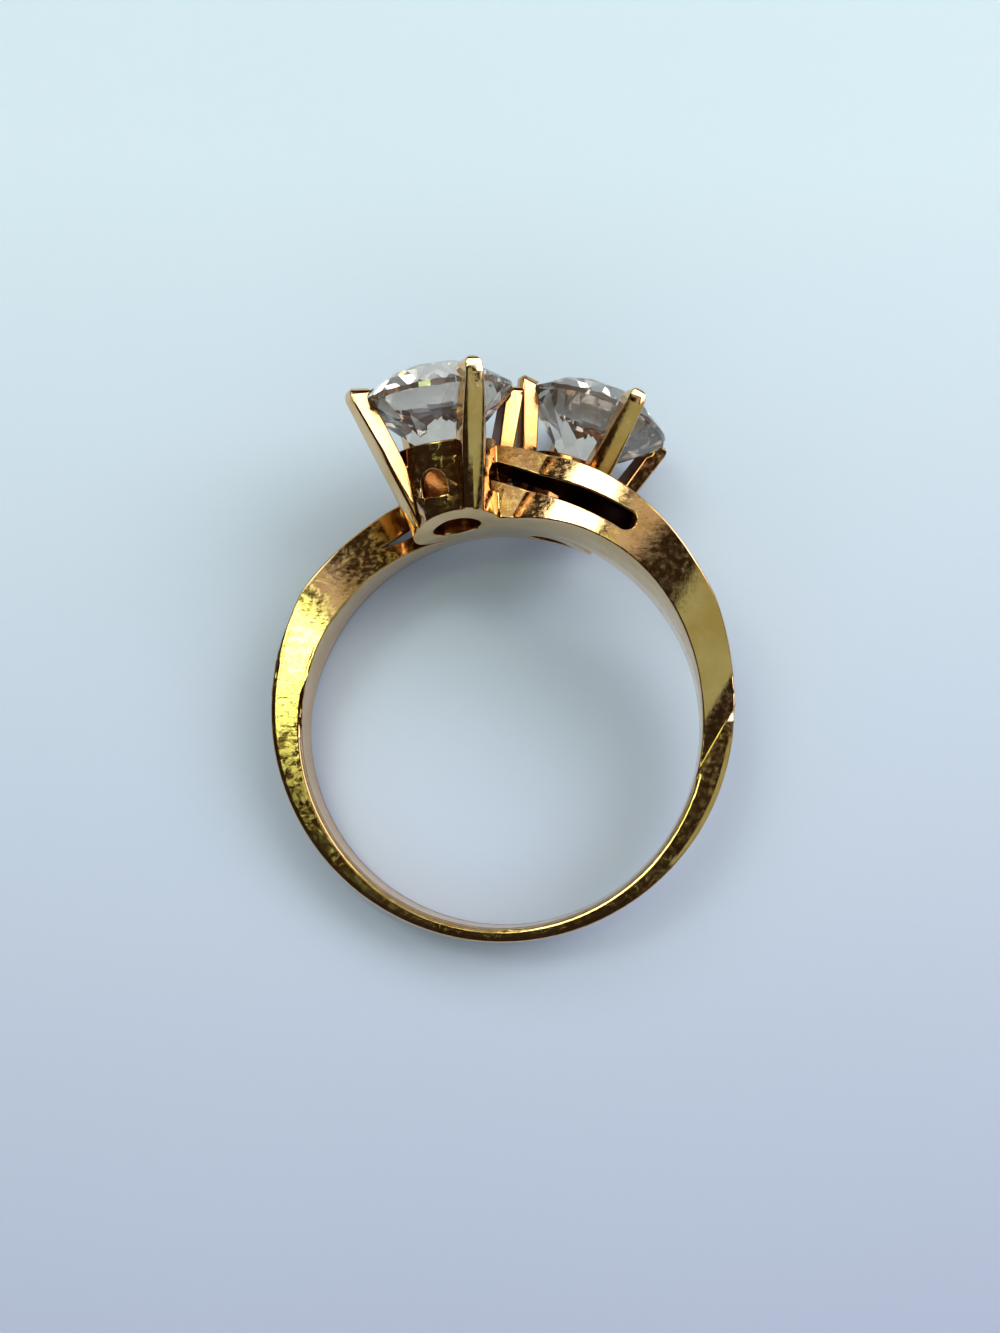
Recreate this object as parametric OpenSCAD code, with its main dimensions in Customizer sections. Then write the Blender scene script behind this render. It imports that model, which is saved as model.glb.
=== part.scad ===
// A bypass ring with two round stones, lying on its side.
// The ring is drawn in its own frame: the finger axis is Z, Y points from the finger to
// the stones, and the near basket is on the left, towards +Z. A half turn about Y carries
// one arm onto the other. Baskets are drawn standing on +Z and then set on the ring.

/* [Band] */
// Inner diameter of the finger hole
bore_d = 17.1; // [15:0.1:19]
// Width of the plain band along the finger
band_w = 2.2; // [1.8:0.1:3]
// Thickness of the band opposite the stones
bottom_t = 0.6; // [0.5:0.05:1.2]
// Thickness of the band at the sides
side_t = 1.35; // [1.1:0.05:2]
// Bevel along the edges of the band
edge_bevel = 0.12; // [0.05:0.01:0.2]
// Half length of the straight middle of the finger hole
bore_straight = 0.95; // [0.8:0.05:1]
// How much the finger hole opens out at the arms' outer sides
bore_flare = 0.38; // [0.1:0.01:0.5]

/* [Arms] */
// Furthest reach of an arm's outer side from the middle plane of the ring
arm_reach = 3.2; // [3:0.05:3.5]
// Radius of the sweep of that side, seen from the stones
sweep_r = 11.5; // [10.5:0.1:13]
// Radius of the sweep of the side that faces the other basket
inner_sweep_r = 21; // [18:0.5:24]
// Turn of the arm's rulings from the line through finger and stones
ruling_turn = 30; // [25:1:35]
// Radius of the arm's top, seen along the finger
arm_top_r = 11.46; // [11.3:0.02:11.7]
// Radius that trims the arm's top down to the band
shoulder_r = 11; // [10.9:0.02:11.2]
// How far the arm's shoulder widens towards the arm's own side, in degrees
shoulder_lean = 3.6; // [3:0.1:7]
// Radius of the slot's middle line
slot_r = 18.9; // [18.6:0.01:19.1]
// Height of the slot at the arm's outer side
slot_h = 0.64; // [0.5:0.02:0.8]
// How much the slot narrows for each millimetre inwards
slot_taper = 0.05; // [0:0.01:0.06]
// Diameter of the hole drilled at the slot's closed end
slot_end_d = 0.8; // [0.7:0.02:0.9]
// Depth of that hole below the slot's centre
slot_end_h = 0.2; // [0:0.1:0.6]
// Turn of the slot's closed end about the slot's centre
slot_end = 33.3; // [30:0.1:35]
// Turn of the slot's point, where it comes out on the arm's inner side
slot_point = 34.6; // [34:0.1:36]

/* [Baskets] */
// Turn of the near basket's foot about the finger axis, from the top
near_foot_turn = 12.1; // [10:0.1:14]
// Turn of the far basket's foot to the other side
far_foot_turn = 13.4; // [10:0.1:14]
// Offset of each basket's foot along the finger
foot_offset = 1.63; // [1.4:0.01:1.9]
// Outer radius of a basket at its foot
foot_r = 1.88; // [1.7:0.01:2]
// Outer radius of a basket at its rim
rim_r = 2.2; // [2:0.05:2.5]
// Height of a basket's rim
rim_h = 3.5; // [3:0.05:3.7]
// Wall thickness of a basket
basket_wall = 0.42; // [0.35:0.01:0.5]
// Thickness of the floor under a stone
floor_t = 0.85; // [0.6:0.05:1]
// Diameter of the drain hole in the floor
drain_d = 2.05; // [1.6:0.05:2.2]
// Height of an arched window's sill
sill_h = 1.3; // [1:0.05:1.5]
// Width of an arched window in a basket
window_w = 1.15; // [0.8:0.05:1.3]
// Height of an arched window
window_h = 1.1; // [0.9:0.05:1.3]
// Sideways lean of the near basket
near_tilt = 8.5; // [5:0.5:12]
// Sideways lean of the far basket
far_tilt = 20.5; // [18:0.5:25]
// Lean of the near basket along the finger, outwards
near_spread = 5; // [0:0.5:8]
// Lean of the far basket along the finger, outwards
far_spread = 4; // [0:0.5:8]

/* [Prongs] */
// Direction of the near basket's first prong, seen from the stones
near_prong_turn = 29; // [20:1:40]
// Direction of the far basket's first prong
far_prong_turn = 25; // [20:1:40]
// How much further round the far basket's outer prong stands
far_outer_turn = 13; // [0:1:20]
// Width of a prong at its foot
prong_foot_w = 0.85; // [0.7:0.05:1.2]
// Width of a prong at the basket's rim
prong_w = 1.1; // [0.9:0.05:1.3]
// Width of a prong at its tip
prong_tip_w = 0.78; // [0.6:0.02:1]
// Thickness of a prong beside the stone
prong_t = 0.75; // [0.6:0.01:0.9]
// Radius of the rounding of a prong's tip, seen from its side
tip_r = 0.26; // [0.2:0.02:0.28]
// Radius of the crown across a prong's outer face
prong_crown_r = 1.5; // [1.2:0.1:3]
// How far a prong's tip reaches over the stone
tip_reach = 0.2; // [0.1:0.05:0.6]
// Height of the tallest prong's tip above the girdle
tip_h = 0.8; // [0.6:0.02:1]
// How much shorter the prong on the other side of the stone is
tip_drop = 0.3; // [0:0.05:0.35]
// How much shorter the prong next to the other stone is
inner_tip_drop = 0.5; // [0.2:0.05:0.5]
// Gap between metal and stone
seat_gap = 0.06; // [0.04:0.01:0.1]

/* [Stones] */
// Diameter of a stone
stone_d = 6.5; // [6.3:0.1:6.6]
// Height of the near stone's girdle above the foot of its basket
near_girdle_h = 5.7; // [5.5:0.05:6.2]
// Height of the far stone's girdle above the foot of its basket
far_girdle_h = 6.1; // [5.5:0.05:6.2]
// Thickness of the girdle
girdle_t = 0.2; // [0.08:0.01:0.24]
// Table width as a share of the stone's width
table_share = 0.56; // [0.53:0.01:0.62]
// Slope of the crown's main facets
crown_slope = 36; // [33:0.5:37]
// Slope of the pavilion's main facets
pavilion_slope = 41; // [40:0.5:42]

/* [Rest] */
// How far the ring pitches as it lies on its side, stones raised
rest_pitch = 10.1; // [0:0.1:20]
// How far it rolls towards its own left
rest_roll = 6.6; // [0:0.1:15]

/* [Hidden] */
gold = "goldenrod";
clear_stone = "aliceblue";
$fn = 96;
over = 1;

bore_r = bore_d / 2;
half_w = band_w / 2;
// The band's outer circle is larger than the hole and sits higher
low_r = bore_r + bottom_t;
side_r = bore_r + side_t;
outer_r = (pow(low_r, 2) + pow(side_r, 2)) / (2 * low_r);
outer_lift = outer_r - low_r;

// Plan of an arm, across its rulings and along the finger
sweep_at = [0.7, arm_reach - sweep_r];
inner_sweep_at = [5.5, inner_sweep_r - half_w];
band_end = inner_sweep_at[0] / cos(ruling_turn);
blend_r = 3;
blend_at = [
    sweep_at[0] + sqrt(pow(sweep_r + blend_r, 2) - pow(half_w + blend_r - sweep_at[1], 2)),
    half_w + blend_r
];
heel = [[-7.2, 0.7], [-3.4, 2.25]];
arm_long = 14;
arm_end_x = -0.4;

// Centres of the arm's top, of its shoulder and of its slot, where the arm reaches furthest,
// and how far the axes of the top and slot lean for each millimetre along the finger
arm_top_at = [-1.22, 0.33, arm_reach];
shoulder_at = [-0.98, 0.9, 2.6];
slot_at = [-5.15, -7.55, arm_reach];
top_lean = [-0.15, 0.31];
slot_lean = [0.11, 0.11];

// The finger plate between the baskets
saddle_at = [0.33, 2.2];
saddle_side = [2.65, 0.15];
saddle_top = 9.4;

stone_r = stone_d / 2;
table_r = table_share * stone_r;
table_h = girdle_t / 2 + (stone_r - table_r) * tan(crown_slope);
prong_r = stone_r + seat_gap + prong_t;

// Lays the ring on its side
module lying() rotate([rest_pitch, 0, 0]) rotate([0, -rest_roll, 0]) children();

module half_turn() rotate([0, 180, 0]) children();

// Each basket's own values: side 1 is the near basket, -1 the far one
function foot_turn(side) = side > 0 ? near_foot_turn : far_foot_turn;
function tilt(side) = side > 0 ? near_tilt : -far_tilt;
function spread(side) = side > 0 ? near_spread : -far_spread;
function prong_turn(side) = side > 0 ? near_prong_turn : far_prong_turn;
function outer_turn(side) = side > 0 ? 0 : far_outer_turn;
function girdle_h(side) = side > 0 ? near_girdle_h : far_girdle_h;

// The middle of a basket's foot, on the finger hole
function foot_at(side) = [-side * bore_r * sin(foot_turn(side)), bore_r * cos(foot_turn(side)), side * foot_offset];

// Sets a basket or a stone on the finger hole
module on_ring(side) translate(foot_at(side)) rotate([0, 0, tilt(side)])
    rotate([-90 + spread(side), 0, 0]) rotate(prong_turn(side)) children();

// Leans the Z axis sideways by these shares of its length
module leaning(share) {
    turn = atan2(share[1], share[0]);
    rotate([0, 0, turn]) rotate([0, atan(norm(share)), 0]) rotate([0, 0, -turn]) children();
}

// A plain band with bevelled edges, thinnest opposite the stones. It ends on the rulings
// where each arm's inner side runs out of its flat side.
module band() difference() {
    translate([0, outer_lift, 0]) rotate_extrude() polygon([
        [0, -half_w], [outer_r - 2 * edge_bevel, -half_w], [outer_r, -half_w + edge_bevel],
        [outer_r, half_w - edge_bevel], [outer_r - 2 * edge_bevel, half_w], [0, half_w]
    ]);
    linear_extrude(2 * band_w, center = true) polygon([
        [-band_end, 0], [band_end, 0], [band_end + bore_d * tan(ruling_turn), bore_d],
        [-band_end - bore_d * tan(ruling_turn), bore_d]
    ]);
    for (turn = [0, 180]) rotate([turn, 0, 0]) translate([0, 0, half_w - edge_bevel])
        cylinder(r1 = bore_r, r2 = bore_r + 2 * edge_bevel, h = 2 * edge_bevel);
}

// The finger hole: straight in the middle, opening out towards the arms' outer sides
module finger_hole() {
    end_z = arm_reach + 0.5;
    mid_z = (bore_straight + end_z) / 2;
    mid_r = bore_r + 0.38 * bore_flare;
    end_r = bore_r + bore_flare;
    far_r = end_r + 0.2 * over;
    rotate_extrude() polygon([
        [0, -end_z - over], [far_r, -end_z - over], [end_r, -end_z], [mid_r, -mid_z], [bore_r, -bore_straight],
        [bore_r, bore_straight], [mid_r, mid_z], [end_r, end_z], [far_r, end_z + over], [0, end_z + over]
    ]);
}

module arm_plan() {
    intersection() {
        translate(sweep_at) circle(sweep_r);
        translate(inner_sweep_at) circle(inner_sweep_r);
        translate([heel[0][0], -half_w]) square([blend_at[0] - heel[0][0], 2 * arm_reach]);
    }
    // The hollow blend from the sweep into the band's side
    difference() {
        translate([sweep_at[0] + half_w, 0])
            square([blend_at[0] - sweep_at[0] - half_w, blend_at[1] - blend_r * blend_height()]);
        translate(blend_at) circle(blend_r);
    }
    translate(heel[0]) square(heel[1] - heel[0]);
}

// Share of the blend's radius between its centre and where it meets the sweep
function blend_height() = (blend_at[1] - sweep_at[1]) / (sweep_r + blend_r);

function polar(r, turn) = r * [sin(turn), cos(turn)];

// A long slot that splits the arm into two rails and narrows inwards. It ends in a drilled
// hole on the arm's own side and runs out in a slanted point on the other side.
module slot() {
    spread = slot_taper * arm_long / 2;
    wide = (slot_h + spread) / 2;
    thin = (slot_h - spread) / 2;
    start = [[0, 0], polar(2 * slot_r, -5), polar(2 * slot_r, 12)];
    intersection() {
        difference() {
            cylinder(r1 = slot_r + thin, r2 = slot_r + wide, h = arm_long, center = true);
            cylinder(r1 = slot_r - thin, r2 = slot_r - wide, h = arm_long, center = true);
        }
        union() {
            translate([0, 0, -slot_end_h]) linear_extrude(arm_long)
                polygon(concat(start, [polar(2 * slot_r, slot_end)]));
            translate([0, 0, -arm_long]) linear_extrude(arm_long) polygon(concat(start, [
                polar(slot_r + 0.4, slot_point - 14), polar(slot_r - 0.04, slot_point),
                polar(slot_r - 0.4, slot_point - 5.5)
            ]));
        }
    }
    rotate(-slot_end) translate([0, slot_r, -slot_end_h]) cylinder(d = slot_end_d, h = arm_long);
}

// One arm: it sweeps to its own side and rises to the basket there
module arm() difference() {
    intersection() {
        rotate([90, 0, -ruling_turn]) translate([0, 0, -arm_long]) linear_extrude(arm_long) arm_plan();
        translate(arm_top_at) leaning(top_lean) cylinder(r = arm_top_r, h = 2 * arm_long, center = true);
        translate(shoulder_at) rotate([0, shoulder_lean, 0])
            cylinder(r = shoulder_r, h = 4 * arm_long, center = true);
        translate([arm_end_x, -bore_r / 2, -half_w]) cube([arm_long, 3 * bore_r, 2 * arm_reach]);
    }
    translate(slot_at) leaning(slot_lean) slot();
}

// The plate that closes the finger side between the two baskets
module saddle() {
    near_foot = [foot_at(1)[0], foot_at(1)[2]];
    far_foot = [foot_at(-1)[0], foot_at(-1)[2]];
    rotate([90, 0, 0]) translate([0, 0, -saddle_top]) linear_extrude(saddle_top / 4)
        polygon([near_foot, saddle_at, saddle_side, far_foot, -saddle_at, -saddle_side]);
}

module basket_cup() difference() {
    translate([0, 0, -over]) cylinder(r1 = foot_r, r2 = rim_r, h = rim_h + over);
    for (k = [0:3]) rotate([90, 0, 135 + 90 * k]) translate([0, 0, basket_wall])
        linear_extrude(2 * rim_r) window_shape();
}

module window_shape() translate([0, sill_h]) {
    translate([-window_w / 2, 0]) square([window_w, window_h - window_w / 2]);
    translate([0, window_h - window_w / 2]) circle(window_w / 2);
}

// The hollow under the stone and the drain hole below it
module basket_hollow() {
    translate([0, 0, floor_t])
        cylinder(r1 = foot_r - basket_wall, r2 = rim_r - basket_wall + 0.05, h = rim_h - floor_t + 0.01);
    translate([0, 0, -over]) cylinder(d = drain_d, h = 2 * over + floor_t);
}

// One prong on +X: a bar that leans out to the girdle at the height h, narrows to its tip,
// ends above the girdle by the tip's height and folds over the stone there. Its outer face is
// slightly crowned across.
module prong(h, tip) intersection() {
    slope = (prong_r - foot_r) / h;
    round_h = h + tip - prong_tip_w / 2;
    inner_r = stone_r - tip_reach;
    tip_z = h + tip - tip_r;
    rotate([90, 0, 0]) linear_extrude(2 * prong_w, center = true) {
        polygon([
            [foot_r - over * slope, -over], [prong_r, h], [prong_r, tip_z], [prong_r - tip_r, h + tip],
            [inner_r + tip_r, h + tip], [inner_r, tip_z], [inner_r, h - tip_reach], [foot_r - prong_t, 0],
            [foot_r - prong_t, -over]
        ]);
        for (x = [prong_r - tip_r, inner_r + tip_r]) translate([x, tip_z]) circle(tip_r);
    }
    rotate([90, 0, 90]) linear_extrude(2 * prong_r) {
        polygon([
            [-prong_foot_w / 2, -over], [prong_foot_w / 2, -over], [prong_w / 2, rim_h], [prong_tip_w / 2, round_h],
            [-prong_tip_w / 2, round_h], [-prong_w / 2, rim_h]
        ]);
        translate([0, round_h]) circle(prong_tip_w / 2);
    }
    translate([foot_r, 0, 0]) rotate([0, atan(slope), 0]) translate([-prong_crown_r, 0, -2 * over])
        cylinder(r = prong_crown_r, h = 2 * h);
}

// Room for a stone: its outline with the seat gap all round
module stone_room() {
    r = stone_r + seat_gap;
    edge = girdle_t / 2 + seat_gap;
    rotate_extrude() polygon([
        [0, -edge - r * tan(pavilion_slope)], [r, -edge], [r, edge], [0, edge + r * tan(crown_slope)]
    ]);
}

// A cup with four prongs at 0, 90, 180 and 270 degrees, the last one the tallest; inner is
// the one next to the other stone, and the one across from it is turned further round
module basket(h, inner, outer_turn) {
    basket_cup();
    for (k = [0:3]) rotate(90 * k + (k == 2 - inner ? outer_turn : 0))
        prong(h, tip_h - (k == inner ? inner_tip_drop : tip_drop * (k == 3 ? 0 : k == 1 ? 1 : 0.8)));
}

module ring_mount() color(gold) lying() difference() {
    union() {
        band();
        arm();
        half_turn() arm();
        saddle();
        for (side = [1, -1]) on_ring(side) basket(girdle_h(side), 1 - side, outer_turn(side));
    }
    finger_hole();
    for (side = [1, -1]) on_ring(side) {
        basket_hollow();
        translate([0, 0, girdle_h(side)]) stone_room();
    }
}

// Eight facets as one pyramid: its sides rise from the girdle plane by the slope and lie r
// from the axis at the height h; turn is the direction of the first one
module facets(slope, turn, r, h) {
    base = -stone_r;
    rotate(turn + 22.5) translate([0, 0, base])
        cylinder(r1 = (r + (h - base) / tan(slope)) / cos(22.5), r2 = 0, h = h - base + r * tan(slope), $fn = 8);
}

// A round brilliant: table, 8 star, 8 main and 16 half facets above the girdle, 8 main and
// 16 half facets below
module stone() intersection() {
    translate([0, 0, -stone_d]) cylinder(r = stone_r, h = stone_d + table_h);
    facets(22, 22.5, table_r * cos(22.5), table_h);
    facets(crown_slope, 0, stone_r, girdle_t / 2);
    intersection_for (half = [-11.25, 11.25]) facets(crown_slope + 6.5, half, stone_r, girdle_t / 2);
    rotate([180, 0, 0]) intersection() {
        facets(pavilion_slope, 0, stone_r, girdle_t / 2);
        intersection_for (half = [-11.25, 11.25]) facets(pavilion_slope + 1.3, half, stone_r, girdle_t / 2);
    }
}

module near_stone() color(clear_stone) lying() on_ring(1) translate([0, 0, near_girdle_h]) stone();

module far_stone() color(clear_stone) lying() on_ring(-1) translate([0, 0, far_girdle_h]) stone();

ring_mount();
near_stone();
far_stone();
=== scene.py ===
"""A toi et moi ring of cast yellow gold with two round clear stones, lying on a pale table."""

import math

import bpy
from mathutils import Matrix, Vector


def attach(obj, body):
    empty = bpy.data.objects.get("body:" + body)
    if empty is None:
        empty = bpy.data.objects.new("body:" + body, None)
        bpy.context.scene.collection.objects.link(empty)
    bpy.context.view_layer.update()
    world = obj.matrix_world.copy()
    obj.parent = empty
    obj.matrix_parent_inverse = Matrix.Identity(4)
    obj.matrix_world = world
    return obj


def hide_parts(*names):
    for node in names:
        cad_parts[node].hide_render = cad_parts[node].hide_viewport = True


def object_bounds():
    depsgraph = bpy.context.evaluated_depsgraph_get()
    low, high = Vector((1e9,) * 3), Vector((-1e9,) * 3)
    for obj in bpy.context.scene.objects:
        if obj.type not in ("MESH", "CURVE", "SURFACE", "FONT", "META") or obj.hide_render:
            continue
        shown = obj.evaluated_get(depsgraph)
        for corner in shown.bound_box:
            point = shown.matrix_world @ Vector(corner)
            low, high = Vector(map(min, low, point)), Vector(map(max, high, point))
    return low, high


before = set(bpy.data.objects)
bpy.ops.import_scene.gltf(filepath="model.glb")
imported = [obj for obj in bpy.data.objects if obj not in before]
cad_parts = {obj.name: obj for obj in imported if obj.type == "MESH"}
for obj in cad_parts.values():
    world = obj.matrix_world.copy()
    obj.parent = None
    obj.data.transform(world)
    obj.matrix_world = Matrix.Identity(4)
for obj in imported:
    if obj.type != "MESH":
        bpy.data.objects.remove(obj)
cad_box = [list(corner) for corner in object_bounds()]

MM = 0.001


# Colours, nodes and selection

def linear(code):
    """An sRGB hex colour as linear red, green, blue and alpha."""
    parts = [int(code[i:i + 2], 16) / 255 for i in (1, 3, 5)]
    return [c / 12.92 if c <= 0.04045 else ((c + 0.055) / 1.055) ** 2.4 for c in parts] + [1.0]


def per_metre(size):
    """How many times a pattern of this size in millimetres fits in a metre."""
    return 1 / (size * MM)


def add_node(tree, kind, inputs=None, **settings):
    """Adds a node; inputs gives each socket's value or the socket that feeds it."""
    node = tree.nodes.new("ShaderNode" + kind)
    for name, value in settings.items():
        setattr(node, name, value)
    for name, value in (inputs or {}).items():
        if isinstance(value, bpy.types.NodeSocket):
            tree.links.new(value, node.inputs[name])
        else:
            node.inputs[name].default_value = value
    return node


def new_material(name):
    """An empty node material and its tree."""
    material = bpy.data.materials.new(name)
    material.use_nodes = True
    material.node_tree.nodes.clear()
    return material, material.node_tree


def only(piece):
    """Selects this object alone and makes it active."""
    bpy.ops.object.select_all(action="DESELECT")
    bpy.context.view_layer.objects.active = piece
    piece.select_set(True)


# Camera, at the photograph's angle over the ring

# the photograph's height and the camera's focal length, in the photograph's pixels
PHOTO_HEIGHT = 1333
FOCAL_LENGTH = 1450
# where the camera is, in mm, and its turns about X, Y and Z in degrees
CAMERA_PLACE = (-2.37, -13.92, 61.18)
CAMERA_TURNS = (15.181, -2.122, -0.164)

camera_data = bpy.data.cameras.new("camera")
camera_data.sensor_fit = "AUTO"
camera_data.sensor_width = 36
camera_data.lens = camera_data.sensor_width * FOCAL_LENGTH / PHOTO_HEIGHT
camera_data.clip_start = 0.002
camera_data.clip_end = 20
camera = bpy.data.objects.new("camera", camera_data)
camera.location = [c * MM for c in CAMERA_PLACE]
camera.rotation_euler = [math.radians(turn) for turn in CAMERA_TURNS]
bpy.context.scene.collection.objects.link(camera)
bpy.context.scene.camera = camera


# Light: soft boxes round the ring in a dark room

def soft_box(name, place, width, height, brightness, colour):
    """A rectangular soft light that faces the ring, with its place and size in mm, as bright as given."""
    data = bpy.data.lights.new(name, "AREA")
    data.shape = "RECTANGLE"
    data.size = width * MM
    data.size_y = height * MM
    data.energy = brightness * math.pi * data.size * data.size_y
    data.color = linear(colour)[:3]
    light = bpy.data.objects.new(name, data)
    light.location = Vector(place) * MM
    light.rotation_euler = Vector((0, 0, 1)).rotation_difference(Vector(place)).to_euler()
    bpy.context.scene.collection.objects.link(light)
    return light


# what the metal mirrors: two windows high on the left, a dim ceiling overhead, a lamp high behind on the
# right, and a dim wall on the right before the ring
soft_box("window_low", (-104, -16, 300), 96, 24, 8.0, "#E4FFA8")
soft_box("window_high", (-140, 85, 300), 120, 90, 7.0, "#FFFCE8")
soft_box("ceiling", (-5, 8, 300), 120, 50, 0.6, "#FFF2E4")
soft_box("lamp", (100, 112, 300), 75, 65, 4.0, "#FAFFB4")
soft_box("right_wall", (300, -180, 250), 330, 240, 0.42, "#EDFFCB")
# the main light high on the right and a little behind, and a paler one behind the stones
soft_box("main", (300, 120, 290), 300, 280, 4.2, "#FFF4F8")
soft_box("back", (-40, 340, 330), 440, 180, 1.4, "#FFF6F8")
# soft fills for the table and the stones, which the metal doesn't mirror, because the photograph's shadows
# are pale: one before the ring and a wide sky over it
front = soft_box("fill_front", (-60, -340, 190), 500, 260, 1.0, "#FFF8F2")
front.visible_glossy = False
sky_data = bpy.data.lights.new("fill_above", "SUN")
sky_data.energy = 1.4
sky_data.angle = math.radians(120)
sky_data.color = linear("#FAF9FF")[:3]
sky = bpy.data.objects.new("fill_above", sky_data)
sky.visible_glossy = False
bpy.context.scene.collection.objects.link(sky)

# the room is dark in what the ring mirrors, and pale where it shows behind the table
world = bpy.data.worlds.new("room")
world.use_nodes = True
world.node_tree.nodes.clear()
seen = add_node(world.node_tree, "LightPath").outputs["Is Camera Ray"]
room = add_node(world.node_tree, "Mix", {
    "Factor": seen, "A": linear("#2B221A"), "B": linear("#B4C2CE")}, data_type="RGBA")
backdrop = add_node(world.node_tree, "Background", {"Color": room.outputs["Result"], "Strength": 1.0})
add_node(world.node_tree, "OutputWorld", {"Surface": backdrop.outputs["Background"]})
bpy.context.scene.world = world
bpy.context.scene.view_settings.view_transform = "Standard"


# Floor: a pale satin table top

# its width in metres
TABLE_WIDTH = 3


def table_material():
    """Pale blue-white laminate, satin from its press plate, with the faintest cloudiness and a painted
    shade that darkens it towards the front.
    """
    material, tree = new_material("white laminate, satin pressed")
    place = add_node(tree, "TexCoord").outputs["Object"]
    # cloudiness a hand wide, 12 to the metre, and a grain of half a millimetre
    cloud = add_node(tree, "TexNoise", {"Vector": place, "Scale": 12.0, "Detail": 3.0})
    grain = add_node(tree, "TexNoise", {"Vector": place, "Scale": per_metre(0.5), "Detail": 2.0})
    # painted shade: the top turns from a cold white behind the ring to a darker, bluer white before it
    across = add_node(tree, "SeparateXYZ", {"Vector": place})
    painted_falloff = add_node(tree, "MapRange", {
        "Value": across.outputs["Y"], "From Min": -32 * MM, "From Max": 30 * MM,
        "To Min": -0.1, "To Max": 0.9})
    blend = add_node(tree, "Math", {0: cloud.outputs["Fac"], 1: 0.2, 2: painted_falloff.outputs["Result"]},
                     operation="MULTIPLY_ADD")
    cloud_and_painted_shade = add_node(tree, "ValToRGB", {"Fac": blend.outputs["Value"]})
    cloud_and_painted_shade.color_ramp.elements[0].position = 0.0
    cloud_and_painted_shade.color_ramp.elements[0].color = linear("#98A3C2")
    cloud_and_painted_shade.color_ramp.elements[1].position = 1.0
    cloud_and_painted_shade.color_ramp.elements[1].color = linear("#BED5E2")
    bump = add_node(tree, "Bump", {"Height": grain.outputs["Fac"], "Strength": 0.2, "Distance": 0.01 * MM})
    shader = add_node(tree, "BsdfPrincipled", {
        "Base Color": cloud_and_painted_shade.outputs["Color"], "Roughness": 0.55, "IOR": 1.5, "Normal": bump.outputs["Normal"]})
    add_node(tree, "OutputMaterial", {"Surface": shader.outputs["BSDF"]})
    return material


floor_z = cad_box[0][2]
bpy.ops.object.select_all(action="DESELECT")
bpy.ops.mesh.primitive_plane_add(size=TABLE_WIDTH, location=(0, 0, floor_z))
table_top = bpy.context.object
table_top.name = "table_top"
bpy.ops.object.transform_apply(location=True, rotation=True, scale=True)
table_top.data.materials.append(table_material())


# Gold

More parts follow.
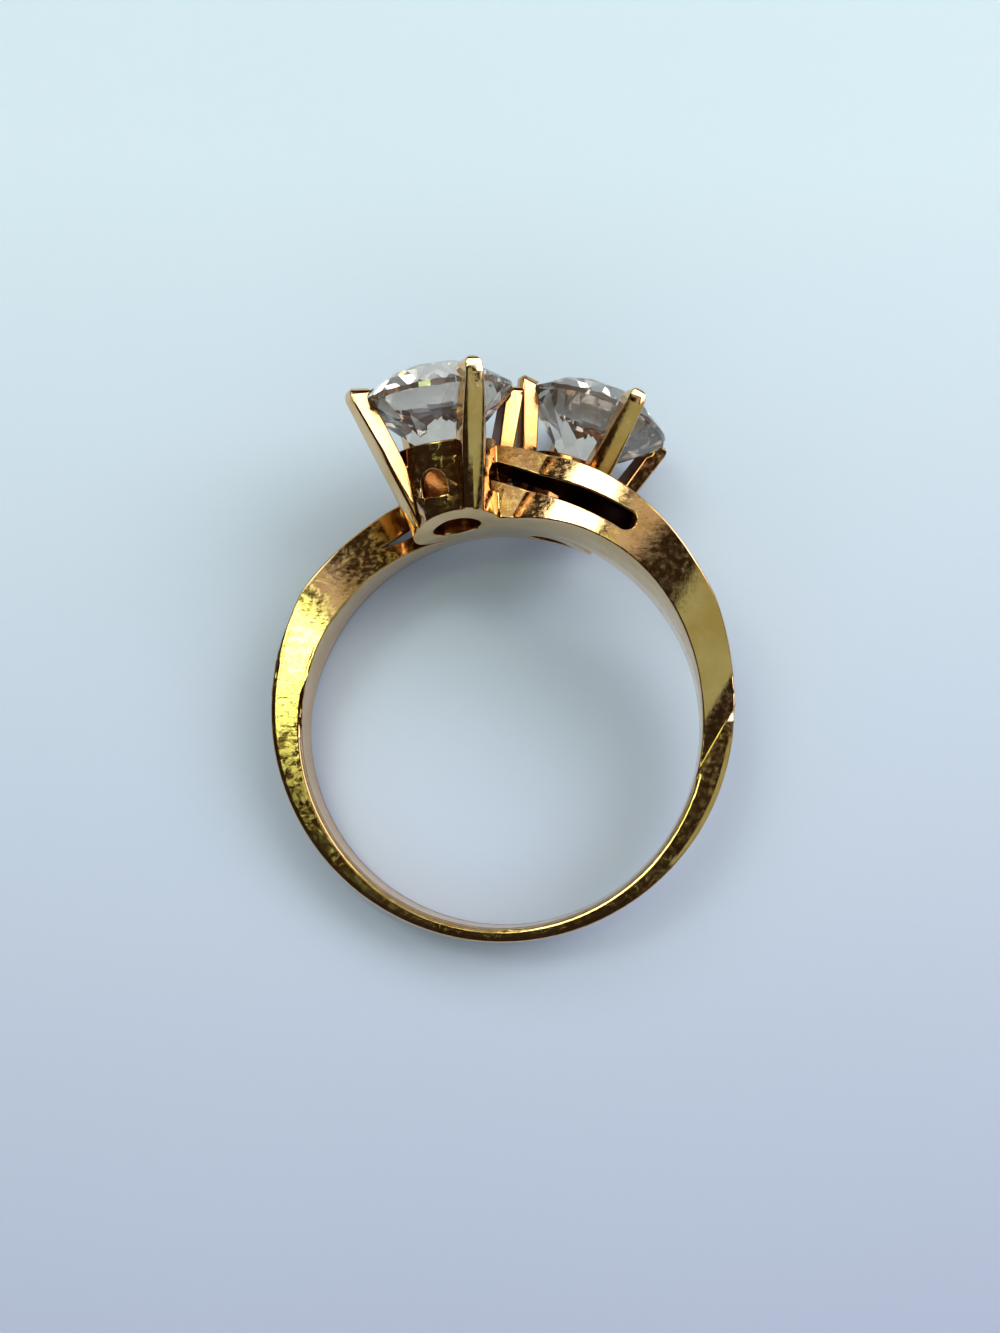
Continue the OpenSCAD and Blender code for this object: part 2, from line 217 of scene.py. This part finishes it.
def gold_material():
    """Cast 14 carat gold, polished and then worn: a bright metal that mirrors the room in warm colours,
    broken by fine wear scratches, with a duller cast skin where no polishing wheel reaches. Painted shade
    turns it dark brown deep in the slots, windows and baskets, and a painted reflection of the gold turns it
    orange near other parts; some of that brown is polishing compound left in the hollows."""
    material, tree = new_material("14 carat yellow gold, cast and polished")
    place = add_node(tree, "TexCoord").outputs["Object"]
    # cloudy patches of wear about 2 mm across
    patches = add_node(tree, "TexNoise", {
        "Vector": place, "Scale": per_metre(2), "Detail": 4.0, "Roughness": 0.6})
    # mottling of the worn polish, 0.25 mm across
    mottle = add_node(tree, "TexNoise", {
        "Vector": place, "Scale": per_metre(0.25), "Detail": 4.0, "Roughness": 0.65})
    # scratches about 0.1 mm wide and 2 to 2.5 mm long, in two directions; real ones are finer, and these are
    # as wide as they need to be to show
    along = add_node(tree, "Mapping", {
        "Vector": place, "Rotation": (0.2, 0.4, 0.9),
        "Scale": (per_metre(2), per_metre(1 / 9), per_metre(1 / 9))})
    scratch_a = add_node(tree, "TexNoise", {"Vector": along.outputs["Vector"], "Scale": 1.0, "Detail": 2.0})
    across = add_node(tree, "Mapping", {
        "Vector": place, "Rotation": (1.1, -0.3, -0.5),
        "Scale": (per_metre(1 / 8), per_metre(2.5), per_metre(1 / 8))})
    scratch_b = add_node(tree, "TexNoise", {"Vector": across.outputs["Vector"], "Scale": 1.0, "Detail": 2.0})
    scratches = add_node(tree, "Math", {0: scratch_a.outputs["Fac"], 1: scratch_b.outputs["Fac"]},
                         operation="ADD")
    alloy = add_node(tree, "ValToRGB", {"Fac": patches.outputs["Fac"]})
    alloy.color_ramp.elements[0].position = 0.35
    alloy.color_ramp.elements[0].color = linear("#E0B87C")
    alloy.color_ramp.elements[1].position = 0.65
    alloy.color_ramp.elements[1].color = linear("#EFCEA0")
    # how open a spot is: 1 on the outside, 0 deep in a slot, window or basket
    opening = add_node(tree, "AmbientOcclusion", {"Distance": 3.0 * MM}, samples=4)
    deep = add_node(tree, "MapRange", {
        "Value": opening.outputs["AO"], "From Min": 0.3, "From Max": 0.55, "To Min": 1.0, "To Max": 0.0})
    # where painted shade and painted reflection are laid over the gold: spots within 3 mm of other parts,
    # most of all deep inside
    residue_and_shade_mask = add_node(tree, "MapRange", {
        "Value": opening.outputs["AO"], "From Min": 0.62, "From Max": 0.92, "To Min": 1.0, "To Max": 0.0})
    # painted shade and painted reflection, with some polishing compound: dark brown where a spot is deep,
    # orange where other parts of the gold are near enough to be mirrored
    residue_and_painted_shade = add_node(tree, "ValToRGB", {"Fac": opening.outputs["AO"]})
    residue_and_painted_shade.color_ramp.elements[0].position = 0.45
    residue_and_painted_shade.color_ramp.elements[0].color = linear("#54280E")
    residue_and_painted_shade.color_ramp.elements[1].position = 0.75
    residue_and_painted_shade.color_ramp.elements[1].color = linear("#E39A38")
    skin = add_node(tree, "Mix", {
        "Factor": residue_and_shade_mask.outputs["Result"], "A": alloy.outputs["Color"], "B": residue_and_painted_shade.outputs["Color"]},
        data_type="RGBA")
    # worn spots are duller, and the cast skin deep inside is duller still
    wear = add_node(tree, "MapRange", {
        "Value": mottle.outputs["Fac"], "From Min": 0.42, "From Max": 0.68, "To Min": 0.08, "To Max": 0.27})
    rough = add_node(tree, "Mix", {
        "Factor": deep.outputs["Result"], "A": wear.outputs["Result"], "B": 0.4}, data_type="FLOAT")
    waves = add_node(tree, "Bump", {
        "Height": patches.outputs["Fac"], "Strength": 1.0, "Distance": 0.003 * MM})
    dents = add_node(tree, "Bump", {
        "Height": mottle.outputs["Fac"], "Strength": 1.0, "Distance": 0.003 * MM,
        "Normal": waves.outputs["Normal"]})
    lines = add_node(tree, "Bump", {
        "Height": scratches.outputs["Value"], "Strength": 1.0, "Distance": 0.001 * MM,
        "Normal": dents.outputs["Normal"]})
    shader = add_node(tree, "BsdfPrincipled", {
        "Base Color": skin.outputs["Result"], "Metallic": 1.0, "Roughness": rough.outputs["Result"],
        "Normal": lines.outputs["Normal"]})
    add_node(tree, "OutputMaterial", {"Surface": shader.outputs["BSDF"]})
    return material


# Stones

def stone_material():
    """Cubic zirconia, brilliant cut and polished: clear and glassy, under a film of dust and skin oil that
    whitens it and takes some of its sparkle."""
    material, tree = new_material("cubic zirconia, cut and polished")
    place = add_node(tree, "TexCoord").outputs["Object"]
    # a film of dust in spots 0.2 mm across
    dust = add_node(tree, "TexNoise", {"Vector": place, "Scale": per_metre(0.2), "Detail": 3.0})
    rough = add_node(tree, "MapRange", {
        "Value": dust.outputs["Fac"], "From Min": 0.45, "From Max": 0.75, "To Min": 0.0, "To Max": 0.05})
    tint = add_node(tree, "ValToRGB", {"Fac": dust.outputs["Fac"]})
    tint.color_ramp.elements[0].color = linear("#FBF4E8")
    tint.color_ramp.elements[1].color = linear("#F2E8DA")
    shader = add_node(tree, "BsdfPrincipled", {
        "Base Color": tint.outputs["Color"], "Roughness": rough.outputs["Result"], "IOR": 1.8,
        "Transmission Weight": 0.95})
    add_node(tree, "OutputMaterial", {"Surface": shader.outputs["BSDF"]})
    return material


gold = gold_material()
zirconia = stone_material()
for name in ("near_stone", "far_stone"):
    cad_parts[name].material_slots[0].material = zirconia


# The mount's round forms, in the ring's own frame and in mm

# the ring's own frame has Z along the finger and Y towards the stones, and this is how it lies on the table
PITCH = math.radians(10.1)
ROLL = math.radians(6.6)
LYING = Matrix.Rotation(PITCH, 3, "X") @ Matrix.Rotation(-ROLL, 3, "Y")
Z = Vector((0, 0, 1))
# turns a place or direction on one arm into the same on the other, half a turn about Y
OTHER_ARM = Vector((-1, 1, -1))

# the band: half its width, and the radius and lift of its outside
BAND_HALF = 1.1
BAND_R = 9.931
BAND_LIFT = 0.781
# the finger hole: its radius, the half length of its straight middle, how much its radius then gains for each
# mm, and the height and radius at which it starts to gain more
HOLE_R = 8.55
HOLE_STRAIGHT = 0.95
HOLE_GROWTH = 0.105
HOLE_BEND = 2.325
HOLE_BEND_R = 8.694
HOLE_END_GROWTH = 0.171
# an arm: its sides run straight along rulings that turn this much from Y, and are round across them
RULING_TURN = math.radians(30)
RULING = Vector((math.sin(RULING_TURN), math.cos(RULING_TURN), 0))
ACROSS = Vector((math.cos(RULING_TURN), -math.sin(RULING_TURN), 0))
# how far it reaches along the finger, and the place across the rulings and the radius of its outer side, of
# the side that faces the other basket, and of the hollow blend into the band
ARM_REACH = 3.2
OUTER_AT = 0.7
OUTER_R = 11.5
INNER_AT = 5.5
INNER_R = 21
BLEND_AT = 8.216
BLEND_R = 3
# the centre, the axis or its lean, and the radius of its top and of its shoulder
TOP_AT = (-1.22, 0.33, ARM_REACH)
TOP_AXIS = (-0.15, 0.31, 1)
TOP_R = 11.46
SHOULDER_AT = (-0.98, 0.9, 2.6)
SHOULDER_LEAN = math.radians(3.6)
SHOULDER_R = 11


def round_form(centre, axis, radius, growth=0.0, hollow=False):
    """A cylinder, or a cone where growth gives how much its radius gains along its axis."""
    return Vector(centre), Vector(axis).normalized(), radius, growth, -1 if hollow else 1


def half_turned(form):
    """The same form on the other arm."""
    centre, axis, radius, growth, side = form
    return centre * OTHER_ARM, axis * OTHER_ARM, radius, growth, side


ARM_FORMS = [
    # the outer side, the side that faces the other basket, and the hollow blend into the band
    round_form(OUTER_AT * ACROSS + (ARM_REACH - OUTER_R) * Z, RULING, OUTER_R),
    round_form(INNER_AT * ACROSS + (INNER_R - BAND_HALF) * Z, RULING, INNER_R),
    round_form(BLEND_AT * ACROSS + (BAND_HALF + BLEND_R) * Z, RULING, BLEND_R, hollow=True),
    # the top and the shoulder
    round_form(TOP_AT, TOP_AXIS, TOP_R),
    round_form(SHOULDER_AT, (math.sin(SHOULDER_LEAN), 0, math.cos(SHOULDER_LEAN)), SHOULDER_R),
    # the finger hole as it opens out
    round_form(HOLE_STRAIGHT * Z, Z, HOLE_R, HOLE_GROWTH, hollow=True),
    round_form(HOLE_BEND * Z, Z, HOLE_BEND_R, HOLE_END_GROWTH, hollow=True),
]
FORMS = ARM_FORMS + [half_turned(form) for form in ARM_FORMS] + [
    # the finger hole's straight middle and the band's outside
    round_form((0, 0, 0), Z, HOLE_R, hollow=True),
    round_form((0, BAND_LIFT, 0), Z, BAND_R),
]

# a corner takes a form's normal if it lies this near to it, in mm, and its face or its own normal turns
# from the form's by less than these angles
NEAR_FORM = 0.03
FACE_TURN = math.radians(6)
CORNER_TURN = math.radians(12)


def form_normal(form, place):
    """How far a place is off a round form, in mm, and the form's own normal beside it."""
    centre, axis, radius, growth, side = form
    along = (place - centre).dot(axis)
    across = place - centre - axis * along
    off = abs(across.length - radius - growth * along)
    return off, (across.normalized() - axis * growth).normalized() * side


def true_normals(mesh):
    """Gives each corner of a face that lies on one of the forms, or on the band's flat sides, the form's own
    normal, because the corners stand too far apart for the mean of their faces to mirror cleanly."""
    to_ring = LYING.transposed()
    normals = [Vector(corner.vector) for corner in mesh.corner_normals]
    for face in mesh.polygons:
        flat = to_ring @ face.normal
        for index in face.loop_indices:
            place = to_ring @ mesh.vertices[mesh.loops[index].vertex_index].co / MM
            smooth = to_ring @ normals[index]
            found = [form_normal(form, place) for form in FORMS]
            found.append((abs(abs(place.z) - BAND_HALF), Z * math.copysign(1, place.z)))
            near = [true for off, true in found if off < NEAR_FORM and (
                true.dot(flat) > math.cos(FACE_TURN) or true.dot(smooth) > math.cos(CORNER_TURN))]
            if near:
                normals[index] = LYING @ max(near, key=(flat + smooth).dot)
    mesh.normals_split_custom_set(normals)


# The mount: the cast shape with its edges eased, as after tumbling and polishing

# the rounding of the edges, and how near two corners are that are one, in mm
EASED = 0.08
SAME_CORNER = 0.004
# faces that turn less than the first angle are one flat face, and more than the second a sharp edge
FLAT_TURN = math.radians(0.7)
SHARP_TURN = math.radians(28)


def eased_mount(source):
    """A copy of the CAD mount, its triangles joined into faces and its edges rounded."""
    mesh = source.data.copy()
    piece = bpy.data.objects.new("mount_polished", mesh)
    bpy.context.scene.collection.objects.link(piece)
    only(piece)
    bpy.ops.object.mode_set(mode="EDIT")
    bpy.ops.mesh.select_all(action="SELECT")
    bpy.ops.mesh.remove_doubles(threshold=SAME_CORNER * MM)
    bpy.ops.mesh.dissolve_limited(angle_limit=FLAT_TURN)
    bpy.ops.object.mode_set(mode="OBJECT")
    bpy.ops.object.shade_smooth_by_angle(angle=SHARP_TURN)
    bevel = piece.modifiers.new("eased edges", "BEVEL")
    bevel.width = EASED * MM
    bevel.segments = 2
    bevel.limit_method = "ANGLE"
    bevel.angle_limit = SHARP_TURN
    bevel.use_clamp_overlap = False
    bevel.miter_outer = "MITER_ARC"
    # the faces between the edges keep their own normals, so that they mirror cleanly up to the rounding
    bevel.harden_normals = True
    bpy.ops.object.modifier_apply(modifier=bevel.name)
    # where two faces run out into each other the bevel can overshoot, so it is held inside the cast shape
    skin = piece.modifiers.new("inside the cast shape", "SHRINKWRAP")
    skin.target = source
    skin.wrap_method = "NEAREST_SURFACEPOINT"
    skin.wrap_mode = "INSIDE"
    bpy.ops.object.modifier_apply(modifier=skin.name)
    true_normals(mesh)
    mesh.materials.clear()
    mesh.materials.append(gold)
    return piece


mount = eased_mount(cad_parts["ring_mount"])
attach(mount, "root")
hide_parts("ring_mount")
